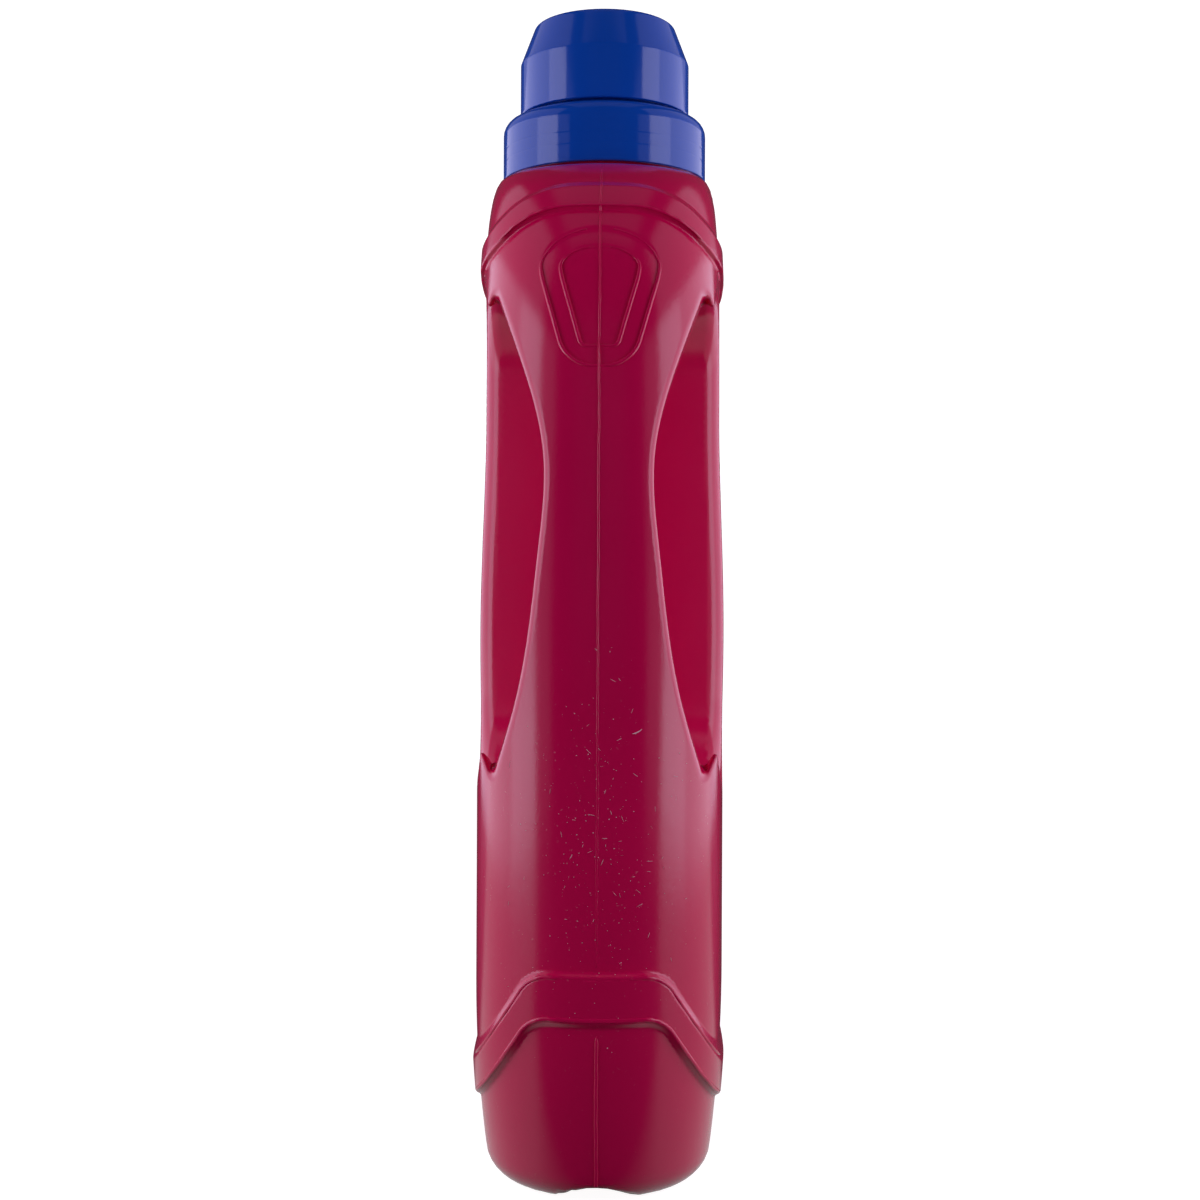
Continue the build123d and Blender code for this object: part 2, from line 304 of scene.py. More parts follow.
def sectionValue(p):  # share by which a point passes the section: arcs on the label faces, Bezier narrow ends
    b = bottle
    x, y = np.abs(p[:, 0]), np.abs(p[:, 1])
    halfX, halfY = bodyHalves(p[:, 2])
    end = np.minimum(b["endDepth"], b["endShare"] * halfX)
    edgeX = halfX - end
    face = b["faceRadius"]
    edgeY = halfY - face + np.sqrt(face**2 - edgeX**2)
    arcY = halfY - face + np.sqrt(face**2 - np.minimum(x, edgeX) ** 2)
    u, v = (x - edgeX) / end, y / edgeY
    angle = np.arctan2(v, np.maximum(u, 0.0))
    return np.where(u > 0, np.hypot(u, v) / np.interp(angle, endAngle, endRadius), y / arcY) - 1.0


def bodyDistance(p, h=0.02, leastSlope=0.012):  # that share over its own slope
    f = sectionValue(p)
    g = np.stack([sectionValue(p + h * e) - f for e in np.eye(3)], 1) / h
    return f / np.maximum(np.linalg.norm(g, axis=1), leastSlope)


def channelDistance(p, wall):  # above 0 in the round trough along the middle of the base
    b = bottle
    r = (b["channelHalf"] ** 2 + b["channelDepth"] ** 2) / (2 * b["channelDepth"])
    return r + wall - np.hypot(p[:, 1], p[:, 2] - b["channelDepth"] + r)


# raised bands that arch over the narrow sides
baseBand = dict(rise=1.3, peak=56.0, height=10.8, flat=15.6, slope=1.62, corner=8.0,
                upperSoft=1.8, upperShift=0.5, lowerSoft=2.2, lowerShift=0.85)
shoulderBand = dict(rise=1.2, peak=244.5, height=6.6, flat=16.0, slope=0.8, corner=26.0,
                    upperSoft=2.0, upperShift=0.5, lowerSoft=1.6, lowerShift=0.85)


def archFall(y, c):  # fall and tilt of an arched line: flat crown, arc of radius corner, straight slope
    lean = math.atan(c["slope"])
    arcEnd = c["corner"] * math.sin(lean)
    s = np.clip(y - c["flat"] + c["corner"] * math.tan(lean / 2), 0.0, arcEnd)
    bend = c["corner"] - np.sqrt(c["corner"] ** 2 - s**2)
    fall = np.where(s >= arcEnd - tiny, c["slope"] * (y - c["flat"]), bend)
    return fall, np.sqrt(1.0 - (s / c["corner"]) ** 2)


def archGap(p, c, drop):  # distance over that line, moved down by drop
    fall, tilt = archFall(np.abs(p[:, 1]), c)
    return (p[:, 2] - c["peak"] + drop + fall) * tilt


def bandRelief(p, c):  # 1 on the band, 0 off it
    upper, lower = archGap(p, c, 0.0), archGap(p, c, c["height"])
    under, over = c["upperShift"] - upper / c["upperSoft"], c["lowerShift"] + lower / c["lowerSoft"]
    return smoothStep(under) * smoothStep(over)


# finger hole and hour-glass grip bar
# points on the bar's edge are (share of the swell that is lost, share of the way from tip to waist)
grip = dict(
    holeX=33.0, holeWidth=25.0, holeLow=106.0, holeHigh=213.0, holeCorner=12.0, holeDraft=16.0,
    partingBlend=2.0, holeRound=4.0, wall=2.2, cutX=40.0, creaseRound=1.5,
    waistZ=177.0, waistHalf=13.1, lowEdge=((0.49, 0.26), (0.9, 0.71)), highEdge=(0.57, 0.46),
    tipHalf=25.5, tipLow=101.0, tipHigh=218.0, tipRun=2.0, tipRound=1.5, overrun=30.0)


def cubicCurve(points, count=600):  # natural cubic through points, chord length parameter
    points = np.asarray(points, float)
    s = np.concatenate([[0], np.cumsum(np.linalg.norm(np.diff(points, axis=0), axis=1))])
    n, h = len(s), np.diff(s)
    a = np.eye(n)
    r = np.zeros((n, points.shape[1]))
    for i in range(1, n - 1):
        a[i, i - 1:i + 2] = h[i - 1], 2 * (h[i - 1] + h[i]), h[i]
        r[i] = 6 * ((points[i + 1] - points[i]) / h[i] - (points[i] - points[i - 1]) / h[i - 1])
    m = np.linalg.solve(a, r)
    q = np.linspace(0, s[-1], count)
    i = np.clip(np.searchsorted(s, q) - 1, 0, n - 2)
    d0, d1, hi = (q - s[i])[:, None], (s[i + 1] - q)[:, None], h[i][:, None]
    return (m[i] * d1**3 + m[i + 1] * d0**3) / (6 * hi) + (points[i] / hi - m[i] * hi / 6) * d1 + \
        (points[i + 1] / hi - m[i + 1] * hi / 6) * d0


def barCurve(step=8):  # half width of the bar over height, run on straight past both tips
    g = grip
    tip, low, high = g["tipHalf"], g["tipLow"], g["tipHigh"]
    swell, below, above = tip - g["waistHalf"], g["waistZ"] - low, high - g["waistZ"]
    (lost1, way1), (lost2, way2), (lost3, way3) = *g["lowEdge"], g["highEdge"]
    line = cubicCurve([
        (tip, low), (tip - lost1 * swell, low + way1 * below), (tip - lost2 * swell, low + way2 * below),
        (g["waistHalf"], g["waistZ"]), (tip - lost3 * swell, high - way3 * above), (tip, high)])
    first, last = line[0] - line[step], line[-1] - line[-1 - step]
    first, last = first / np.linalg.norm(first), last / np.linalg.norm(last)
    return np.concatenate([[line[0] + g["overrun"] * first], line, [line[-1] + g["overrun"] * last]])


barLine = barCurve()


def holeDistance(p):  # rounded slot in XZ, drafted from the parting plane
    g = grip
    draft = math.radians(g["holeDraft"])
    grow = (np.sqrt(p[:, 1] ** 2 + g["partingBlend"] ** 2) - g["partingBlend"]) * math.tan(draft)
    middle, half = (g["holeLow"] + g["holeHigh"]) / 2, (g["holeHigh"] - g["holeLow"]) / 2
    qx = np.abs(p[:, 0] - g["holeX"]) - (g["holeWidth"] / 2 - g["holeCorner"])
    qz = np.abs(p[:, 2] - middle) - (half - g["holeCorner"])
    d = np.hypot(np.maximum(qx, 0), np.maximum(qz, 0)) + np.minimum(np.maximum(qx, qz), 0)
    return (d - g["holeCorner"] - grow) * math.cos(draft)


def flankDistance(p, h=0.5):  # hollow beside the bar, between a floor and a roof that slope to its tips
    g = grip
    y, z = np.abs(p[:, 1]), p[:, 2]
    w, above, below = (np.interp(z + shift, barLine[:, 1], barLine[:, 0]) for shift in (0.0, h, -h))
    wall = (w - y) / np.sqrt(1.0 + ((above - below) / (2 * h)) ** 2)
    run = (y - g["tipHalf"]) * g["tipRun"]
    ends = np.maximum(g["tipLow"] + run - z, z - g["tipHigh"] + run) / math.hypot(1.0, g["tipRun"])
    return np.maximum(roundMax(wall, ends, g["tipRound"]), g["cutX"] - p[:, 0])


# thumb drop sunk in the narrow side in three steps, steep at the sides and wide at the head
thumbDrop = dict(
    z=221.5, half=14.2, head=10.4, length=23.5, tailHalf=7.6, tailRound=5.9, leastRound=0.6, headBlend=1.0,
    step=0.3, sideSoft=0.4, headSoft=2.2, headRun=9.0, margin=4.7, innerSoft=0.25, innerShare=0.5,
    coreMargin=2.2, coreSoft=0.7, coreShare=0.25, frontX=45.0, frontRun=5.0)


def dropDistance(p, margin):  # in YZ: half an ellipse over straight sides that lean in to a rounded tail
    c = thumbDrop
    a, b = c["half"] - margin, c["head"] - margin
    slope = (c["half"] - c["tailHalf"]) / c["length"]
    y, z = np.abs(p[:, 1]), p[:, 2] - c["z"]
    up = np.maximum(z, 0.0)
    f = np.hypot(y / a, up / b)
    head = (f - 1.0) * f / np.maximum(np.hypot(y / a**2, up / b**2), tiny)
    side = (y - a - slope * z) / math.hypot(1.0, slope)
    tail = margin - c["length"] - z
    return roundMax(softMax(head, side, c["headBlend"]), tail, max(c["tailRound"] - margin, c["leastRound"]))


def dropRelief(p):  # depth of the drop under the body's surface
    c = thumbDrop
    soft = c["sideSoft"] + c["headSoft"] * smoothStep((p[:, 2] - c["z"]) / c["headRun"])
    sunk = smoothStep(0.5 - dropDistance(p, 0.0) / soft)
    sunk = sunk + smoothStep(0.5 - dropDistance(p, c["margin"]) / (c["innerSoft"] + c["innerShare"] * soft))
    core = dropDistance(p, c["margin"] + c["coreMargin"]) / c["coreSoft"]
    sunk = sunk + c["coreShare"] * smoothStep(0.5 - core)
    return c["step"] * sunk * smoothStep((p[:, 0] - c["frontX"]) / c["frontRun"])


def skinDistance(p):  # outside of the wall
    b, z = bottle, p[:, 2]
    body = bodyDistance(p) + dropRelief(p)
    for band in (baseBand, shoulderBand):
        body = body - band["rise"] * bandRelief(p, band)
    d = roundMax(body, -z, b["footRound"])
    d = roundMax(d, z - b["shoulderTop"], b["landRound"])
    d = roundMax(d, channelDistance(p, 0.0), b["channelRound"])
    return roundMax(roundMax(d, -holeDistance(p), grip["holeRound"]), -flankDistance(p), grip["creaseRound"])


def cavityDistance(p):  # inside of the wall
    b, z = bottle, p[:, 2]
    wall, soft = b["wall"], b["innerRound"]
    d = roundMax(bodyDistance(p) + wall, wall - z, b["footRound"] - wall)
    d = roundMax(d, z - b["shoulderTop"] + wall, b["landRound"] - wall)
    d = roundMax(d, channelDistance(p, wall), soft)
    return roundMax(roundMax(d, grip["wall"] - holeDistance(p), soft), grip["wall"] - flankDistance(p), soft)


def gradient(f, p, h=0.04):
    return np.stack([f(p + h * e) - f(p - h * e) for e in np.eye(3)], 1) / (2 * h)


def normalAt(f, p):
    g = gradient(f, p)
    return g / np.maximum(np.linalg.norm(g, axis=1), tiny)[:, None]


def settle(f, p, rounds=4, most=1.5, leastSquare=0.05):  # Newton steps on to the surface f = 0
    for i in range(rounds):
        g = gradient(f, p)
        step = (f(p) / np.maximum((g * g).sum(1), leastSquare))[:, None] * g
        length = np.linalg.norm(step, axis=1)[:, None]
        p = p - step * np.minimum(1.0, most / np.maximum(length, tiny))
    return p


def surfaceNet(f, low, high, cell):  # one point per cell that f = 0 crosses, one quad per crossed edge
    low, high = np.asarray(low, float), np.asarray(high, float)
    shape = np.ceil((high - low) / cell).astype(int) + 1
    axes = [low[k] + cell * np.arange(shape[k]) for k in range(3)]
    grid = np.stack(np.meshgrid(*axes, indexing="ij"), -1)
    field = f(grid.reshape(-1, 3)).reshape(shape)
    cells = shape - 1
    total = np.zeros((cells.prod(), 3))
    count = np.zeros(cells.prod())
    units = np.eye(3, dtype=int)
    rows = []
    for axis in range(3):
        unit, u, v = units[axis], units[(axis + 1) % 3], units[(axis + 2) % 3]
        n = shape[axis]
        a, b = np.take(field, np.arange(n - 1), axis), np.take(field, np.arange(1, n), axis)
        at = np.argwhere((a < 0) != (b < 0))
        fa, fb = a[tuple(at.T)], b[tuple(at.T)]
        point = at + unit * (fa / (fa - fb))[:, None]
        ring = []
        for shift in (0 * u, -u, -u - v, -v):
            index = np.ravel_multi_index(tuple((at + shift).T), cells)
            np.add.at(total, index, point)
            np.add.at(count, index, 1)
            ring.append(index)
        ring = np.stack(ring, 1)
        rows.append(np.where((fa < 0)[:, None], ring, ring[:, ::-1]))
    quads = np.concatenate(rows)
    used, quads = onlyUsed(quads, len(count))
    return low + cell * total[used] / count[used][:, None], quads


def onlyUsed(faces, count):  # points that faces use, and the faces numbered by them
    used = np.unique(faces)
    lookup = np.zeros(count, int)
    lookup[used] = np.arange(len(used))
    return used, lookup[faces]


def splitLong(points, tris, target):  # one pass: every edge longer than its target is halved
    pairs = np.sort(np.stack([tris, np.roll(tris, -1, 1)], 2).reshape(-1, 2), 1)
    edges, back = np.unique(pairs, axis=0, return_inverse=True)
    back = back.reshape(-1, 3)
    mid = points[edges].mean(1)
    length = np.linalg.norm(points[edges[:, 0]] - points[edges[:, 1]], axis=1)
    cut = length > target(mid)
    number = np.full(len(edges), -1)
    number[cut] = len(points) + np.arange(cut.sum())
    points = np.concatenate([points, mid[cut]])
    m = number[back]  # midpoint on edges 01, 12, 20
    has = m >= 0
    n = has.sum(1)
    out = [tris[n == 0]]
    for k in range(3):
        t3, m3, h3 = np.roll(tris, -k, 1), np.roll(m, -k, 1), np.roll(has, -k, 1)
        one = (n == 1) & h3[:, 0]
        a, b, c, e = t3[one, 0], t3[one, 1], t3[one, 2], m3[one, 0]
        out += [np.stack([a, e, c], 1), np.stack([e, b, c], 1)]
        two = (n == 2) & ~h3[:, 2]
        a, b, c, e, g = t3[two, 0], t3[two, 1], t3[two, 2], m3[two, 0], m3[two, 1]
        out += [np.stack([e, b, g], 1), np.stack([a, e, g], 1), np.stack([a, g, c], 1)]
    full = n == 3
    a, b, c = tris[full].T
    e, g, k = m[full].T
    out += [np.stack([a, e, k], 1), np.stack([e, b, g], 1), np.stack([k, g, c], 1), np.stack([e, g, k], 1)]
    return points, np.concatenate(out)


# edge lengths of the skin's mesh, how near a feature each one holds, and the mouth left open under the neck
meshing = dict(
    low=(-79, -36, -3), high=(79, 36, 258), cell=2.5, innerCell=4.0, splits=5, splitRounds=2, splitMost=0.6,
    plain=4.0, grip=1.9, gripReach=5.0, crease=0.85, creaseReach=2.0, creaseShare=0.05,
    bandFront=0.75, bandBack=1.25, bandFrontX=36.0, bandReach=2.2,
    drop=0.5, dropReach=0.5, dropGrow=0.8, most=9.0, mouth=24.2, innerMouth=22.2, mouthZ=248.0)


def skinTarget(p):  # edge length wanted, finer along steps and roundings
    c, x = meshing, p[:, 0]
    hole, flank = np.abs(holeDistance(p)), np.abs(flankDistance(p))
    onGrip = (np.minimum(hole, flank) < c["gripReach"]) & (x > 0)
    onSkin = np.abs(sectionValue(p)) < c["creaseShare"]
    wanted = np.full(len(p), c["plain"])
    wanted[onGrip] = c["grip"]
    wanted[onGrip & (flank < c["creaseReach"]) & onSkin & (x > grip["cutX"])] = c["crease"]
    near = np.min([np.abs(archGap(p, band, drop)) for band in (baseBand, shoulderBand)
                   for drop in (0.0, band["height"])], axis=0) - c["bandReach"]
    alongBand = np.where(x > c["bandFrontX"], c["bandFront"], c["bandBack"])
    wanted = np.minimum(wanted, alongBand + np.maximum(near, 0))
    near = np.min([np.abs(dropDistance(p, margin)) for margin in (0.0, thumbDrop["margin"])], axis=0)
    near = np.where(x > thumbDrop["frontX"], near - c["dropReach"], c["most"])
    return np.minimum(wanted, np.clip(c["drop"] + c["dropGrow"] * np.maximum(near, 0), c["drop"], c["most"]))


def openMouth(points, faces, radius):  # drops the disc of the land under the neck
    r = np.hypot(points[faces][:, :, 0], points[faces][:, :, 1])
    return faces[~((r.max(1) < radius) & (points[faces][:, :, 2].min(1) > meshing["mouthZ"]))]


def makeBottleSkin():
    c = meshing
    points, quads = surfaceNet(skinDistance, c["low"], c["high"], c["cell"])
    points = settle(skinDistance, points)
    tris = np.concatenate([quads[:, [0, 1, 2]], quads[:, [0, 2, 3]]])
    for i in range(c["splits"]):
        points, tris = splitLong(points, tris, skinTarget)
        points = settle(skinDistance, points, c["splitRounds"], c["splitMost"])
    tris = openMouth(points, tris, c["mouth"])
    inner, quads = surfaceNet(cavityDistance, c["low"], c["high"], c["innerCell"])
    inner = settle(cavityDistance, inner)
    innerTris = np.concatenate([quads[:, [0, 2, 1]], quads[:, [0, 3, 2]]])
    innerTris = openMouth(inner, innerTris, c["innerMouth"])
    normals = np.concatenate([normalAt(skinDistance, points), -normalAt(cavityDistance, inner)])
    tris = np.concatenate([tris, innerTris + len(points)])
    points = np.concatenate([points, inner])
    used, tris = onlyUsed(tris, len(points))
    print("bottle skin", len(used), "points", len(tris), "triangles")
    return makeObject("bottleSkin", points[used] * mm, tris, True, normals[used])


place(makeBottleSkin(), "bottle", "bottle", crimson)


# path + side w cos q + up h sin q, closed at both ends
def tube(name, path, side, up, halfWidth, height, count=10):
    q = np.linspace(0, 2 * np.pi, count, endpoint=False)
    ring = path[:, None] + side[:, None] * (halfWidth[:, None] * np.cos(q))[..., None] + \
        up[:, None] * (height[:, None] * np.sin(q))[..., None]
    n = len(path)
    points = np.concatenate([ring.reshape(-1, 3), path[:1], path[-1:]])
    i, j = np.meshgrid(np.arange(n - 1), np.arange(count), indexing="ij")
    a, b = i * count + j, i * count + (j + 1) % count
    c, d = b + count, a + count
    k = np.arange(count)
    after, end = (k + 1) % count, (n - 1) * count
    first = np.stack([np.full(count, n * count), after, k], 1)
    last = np.stack([np.full(count, n * count + 1), end + k, end + after], 1)
    walls = [np.stack([a, b, c], -1).reshape(-1, 3), np.stack([a, c, d], -1).reshape(-1, 3)]
    tris = np.concatenate(walls + [first, last])
    normal = np.cross(points[tris[0, 1]] - points[tris[0, 0]], points[tris[0, 2]] - points[tris[0, 0]])
    if normal @ (points[tris[0]].mean(0) - path[0]) < 0:
        tris = tris[:, ::-1]
    return makeObject(name, points * mm, tris)


# mould parting line, a hair-fine ridge down both narrow sides, left out where the base band crosses it
seam = dict(
    halfWidth=0.27, height=0.20, least=0.012, spacing=0.7, lead=0.4, rounds=8,
    top=254.0, overBand=58.0, underBand=42.0, low=2.6, sway=((0.05, 0.21), (0.03, 0.83)),
    uneven=0.18, unevenRates=(0.37, 1.31), fade=0.08, fadeLeast=0.02, thinEnd=0.3,
    weak=0.35, strongFrom=95.0, strongRun=70.0, footZ=48.0, footRun=8.0, footStrong=0.5, footBroad=0.7)


def makeSeam(name, sign, low, high):
    c = seam
    z = np.linspace(high, low, int((high - low) / c["spacing"]))
    start = np.stack([sign * (bodyHalves(z)[0] + c["lead"]), 0 * z, z], 1)
    path = settle(skinDistance, start, c["rounds"])
    path[:, 1] = sum(size * np.sin(z * rate) for size, rate in c["sway"])
    up = normalAt(skinDistance, path)
    side = np.broadcast_to([0.0, 1.0, 0.0], up.shape)
    along = np.abs(np.linspace(-1.0, 1.0, len(z)))
    fade = smoothStep((1.0 - along) / c["fade"] + c["fadeLeast"])
    slow, fast = c["unevenRates"]
    uneven = 1.0 - c["uneven"] + c["uneven"] * np.sin(z * slow + 1.0) * np.sin(z * fast)
    onFoot = smoothStep((c["footZ"] - z) / c["footRun"])
    strong = c["weak"] + (1.0 - c["weak"]) * smoothStep((z - c["strongFrom"]) / c["strongRun"])
    strong = np.minimum(strong + c["footStrong"] * onFoot, 1.0)
    broad = 1.0 + c["footBroad"] * onFoot
    width = c["halfWidth"] * broad * (c["thinEnd"] + (1.0 - c["thinEnd"]) * fade)
    return tube(name, path, side, up, width, (c["height"] * fade * uneven * strong + c["least"]) * broad)


for name, sign in (("seamFront", 1), ("seamBack", -1)):
    for part, low, high in (("", seam["overBand"], seam["top"]), ("Foot", seam["low"], seam["underBand"])):
        place(makeSeam(name + part, sign, low, high), "bottle", "bottle", crimson)
print("parting line done")

# hair lines that catch the light: edges of both bands, outlines of the thumb drop
hairLine = dict(
    bandWidth=0.55, bandHeight=0.4, bandLeast=0.01, bandThin=0.3, bandPoints=220, bandFade=1.5,
    fadeLeast=0.02, bandWeak=0.4, bandFlat=6.0, bandRun=8.0, uneven=0.15, unevenRate=1.7,
    inset=0.5, baseReach=30.6, baseFrom=40.0, shoulderReach=25.0, shoulderFrom=20.0,
    dropWidth=0.52, dropHeight=0.38, dropLeast=0.008, dropThin=0.4, dropPoints=300,
    dropMiddle=8.0, dropOutside=0.1, dropFar=40.0, firstAngle=100.0, lastAngle=440.0,
    headFade=0.93, headStart=2.0, headRun=8.0, tailWeak=0.4, tailStart=1.0, tailRun=4.0, farX=80.0)


def halve(isInside, low, high, rounds=30):  # where each ray leaves a shape, by halving
    for i in range(rounds):
        middle = (low + high) / 2
        inside = isInside(middle)
        low, high = np.where(inside, middle, low), np.where(inside, high, middle)
    return low


def onFront(y, z, start=40.0):  # points of the narrow side over (y, z), along x from start
    low, high = np.full(len(y), start), np.full(len(y), hairLine["farX"])
    x = halve(lambda x: skinDistance(np.stack([x, y, z], 1)) < 0, low, high, 24)
    return np.stack([x, y, z], 1)


def sideAndUp(path, surface):  # across and out of a surface, along a line on it
    up = normalAt(surface, path)
    along = np.gradient(path, axis=0)
    return np.cross(up, along / np.linalg.norm(along, axis=1)[:, None]), up


def makeBandLine(name, c, drop, reach, start):
    h = hairLine
    y = np.linspace(-reach, reach, h["bandPoints"])
    path = onFront(y, c["peak"] - drop - archFall(np.abs(y), c)[0], start)
    ends = smoothStep((reach - np.abs(y)) / h["bandFade"] + h["fadeLeast"])
    strong = h["bandWeak"] + (1.0 - h["bandWeak"]) * smoothStep((np.abs(y) - h["bandFlat"]) / h["bandRun"])
    strong = strong * (1.0 - h["uneven"] + h["uneven"] * np.sin(h["unevenRate"] * y))
    width = h["bandWidth"] * (h["bandThin"] + (1.0 - h["bandThin"]) * ends)
    side, up = sideAndUp(path, bodyDistance)
    return tube(name, path, side, up, width, h["bandHeight"] * strong * ends + h["bandLeast"])


def makeDropLine(name, margin):  # rays from the middle of the drop out to its outline, faint over the head
    h, middle = hairLine, thumbDrop["z"] - hairLine["dropMiddle"]
    a = np.radians(np.linspace(h["firstAngle"], h["lastAngle"], h["dropPoints"]))

    def inDrop(r):
        points = np.stack([0 * r, r * np.cos(a), middle + r * np.sin(a)], 1)
        return dropDistance(points, margin) < h["dropOutside"]

    r = halve(inDrop, np.zeros(len(a)), np.full(len(a), h["dropFar"]))
    y, z = r * np.cos(a), middle + r * np.sin(a)
    strong = 1.0 - h["headFade"] * smoothStep((z - thumbDrop["z"] + h["headStart"]) / h["headRun"])
    atTail = smoothStep((np.abs(y) - h["tailStart"]) / h["tailRun"])
    strong = strong * (h["tailWeak"] + (1.0 - h["tailWeak"]) * atTail)
    width = h["dropWidth"] * (h["dropThin"] + (1.0 - h["dropThin"]) * strong)
    path = onFront(y, z)
    side, up = sideAndUp(path, bodyDistance)
    return tube(name, path, side, up, width, h["dropHeight"] * strong + h["dropLeast"])


def makeHairLines():
    h, inset = hairLine, hairLine["inset"]
    base, shoulder = (h["baseReach"], h["baseFrom"]), (h["shoulderReach"], h["shoulderFrom"])
    return (makeBandLine("bandLineUpper", baseBand, inset, *base),
            makeBandLine("bandLineLower", baseBand, baseBand["height"] - 1.2 * inset, *base),
            makeBandLine("shoulderLine", shoulderBand, shoulderBand["height"] - 0.6 * inset, *shoulder),
            makeDropLine("dropLineOuter", 0.0), makeDropLine("dropLineInner", thumbDrop["margin"]))


for piece in makeHairLines():
    place(piece, "bottle", "bottle", crimson)
print("hair lines done")

# dust that clings low on the narrow side: flakes, lint and one longer fibre
lint = dict(
    flakes=320, threads=44, seed=11, middle=86.0, spreadZ=19.0, lowZ=12.0, highZ=150.0,
    spreadY=9.5, mostY=21.0, threadLength=(0.35, 0.95), threadWidth=(0.04, 0.07), flakeLeast=0.05,
    flakeMore=0.12, flakePower=0.5, flakeShape=(0.5, 1.0), sides=6, rimLift=0.015, crown=0.09, sunk=0.03)


def makeLint():  # each fleck is a low six-sided pyramid, closed below the skin
    c = lint
    random = np.random.default_rng(c["seed"])
    n, sides = c["flakes"] + c["threads"], c["sides"]
    y = np.clip(random.normal(0, c["spreadY"], n), -c["mostY"], c["mostY"])
    z = np.clip(random.normal(c["middle"], c["spreadZ"], n), c["lowZ"], c["highZ"])
    thread = np.arange(n) >= c["flakes"]
    centre = onFront(y, z)
    up = normalAt(skinDistance, centre)
    turn = random.uniform(0, np.pi, n)
    across = np.cross(up, [0.0, 0.0, 1.0])
    across /= np.linalg.norm(across, axis=1)[:, None]
    u = across * np.cos(turn)[:, None] + np.cross(across, up) * np.sin(turn)[:, None]
    v = np.cross(up, u)
    threadLength = random.uniform(*c["threadLength"], n)
    flakeLength = c["flakeLeast"] + c["flakeMore"] * random.power(c["flakePower"], n)
    length = np.where(thread, threadLength, flakeLength)
    threadWidth = random.uniform(*c["threadWidth"], n)
    width = np.where(thread, threadWidth, length * random.uniform(*c["flakeShape"], n))
    q = np.linspace(0, 2 * np.pi, sides, endpoint=False)
    rim = centre[:, None] + u[:, None] * (length[:, None] * np.cos(q))[..., None] + \
        v[:, None] * (width[:, None] * np.sin(q))[..., None] + c["rimLift"] * up[:, None]
    crown = centre + up * np.minimum(width, c["crown"])[:, None]
    under = centre - c["sunk"] * up
    points = np.concatenate([rim, crown[:, None], under[:, None]], 1)
    k = np.arange(sides)
    upper = np.stack([np.full(sides, sides), k, (k + 1) % sides], 1)
    lower = np.stack([np.full(sides, sides + 1), (k + 1) % sides, k], 1)
    each = (sides + 2) * np.arange(n)[:, None, None]
    tris = (np.concatenate([upper, lower])[None] + each).reshape(-1, 3)
    return makeObject("dustFlakes", points.reshape(-1, 3) * mm, tris)


fibre = dict(y=9.2, z=112.6, halfY=1.15, halfZ=0.55, bend=0.25, radius=0.15, blunt=1.02, lift=0.1, points=24)


def makeFibre():  # short bent hair, a quadratic in the surface, thinner at its ends
    c = fibre
    s = np.linspace(-1, 1, c["points"])
    path = onFront(c["y"] + c["halfY"] * s, c["z"] + c["halfZ"] * s + c["bend"] * s * s)
    side, up = sideAndUp(path, skinDistance)
    size = c["radius"] * np.sqrt(np.clip(c["blunt"] - s**2, 0.01, 1))
    return tube("dustFibre", path + c["lift"] * up, side, up, size, size)


place(makeLint(), "bottle", "bottle", dust)
place(makeFibre(), "bottle", "bottle", dust)
print("dust done")


def ringQuads(segments, n):  # faces of a closed profile of n points carried round in segments
    i, j = np.meshgrid(np.arange(segments), np.arange(n), indexing="ij")
    i2, j2 = (i + 1) % segments, (j + 1) % n
    return np.stack([i * n + j, i2 * n + j, i2 * n + j2, i * n + j2], -1).reshape(-1, 4)


def lathe(name, profile, segments):  # x = r cos a, y = r sin a, z = z for a closed (r, z) loop
    a = np.linspace(0, 2 * np.pi, segments, endpoint=False)
    r, z = np.asarray(profile, float).T
    x, y = np.outer(np.cos(a), r), np.outer(np.sin(a), r)
    points = np.stack([x, y, np.broadcast_to(z, x.shape)], -1)
    return makeObject(name, points.reshape(-1, 3) * mm, ringQuads(segments, len(z)))


def roundLoop(corners, steps=6, hold=0.2, straight=1.56):  # (r, z, radius) corners, each replaced by an arc
    corners = np.asarray(corners, float)
    out = []
    for k in range(len(corners)):
        before, here, after = corners[k - 1, :2], corners[k, :2], corners[(k + 1) % len(corners), :2]
        radius = corners[k, 2]
        u, v = before - here, after - here
        lengthU, lengthV = np.linalg.norm(u), np.linalg.norm(v)
        u, v = u / lengthU, v / lengthV
        half = math.acos(np.clip(u @ v, -1, 1)) / 2
        if radius <= 0 or half > straight:
            out.append(here)
            continue
        reach = radius / math.tan(half)
        centre = here + (u + v) / np.linalg.norm(u + v) * radius / math.sin(half)
        start, end = here + u * reach - centre, here + v * reach - centre
        turn = math.atan2(start[0] * end[1] - start[1] * end[0], start @ end)
        if lengthU > reach + 4 * hold:
            out.append(here + u * (reach + hold))  # keeps the flat beside the arc flat
        for s in np.linspace(0, 1, steps):
            c, q = math.cos(turn * s), math.sin(turn * s)
            out.append(centre + (start[0] * c - start[1] * q, start[0] * q + start[1] * c))
        if lengthV > reach + 4 * hold:
            out.append(here + v * (reach + hold))
    return np.array(out)


# neck finish under the collar
neck = dict(radius=24.6, wall=2.2, low=252.5, top=271.6, beadZ=264.4, bead=0.6, beadHalf=1.2, beadRound=0.5,
            edgeRound=0.3, lipRound=0.6, segments=144)


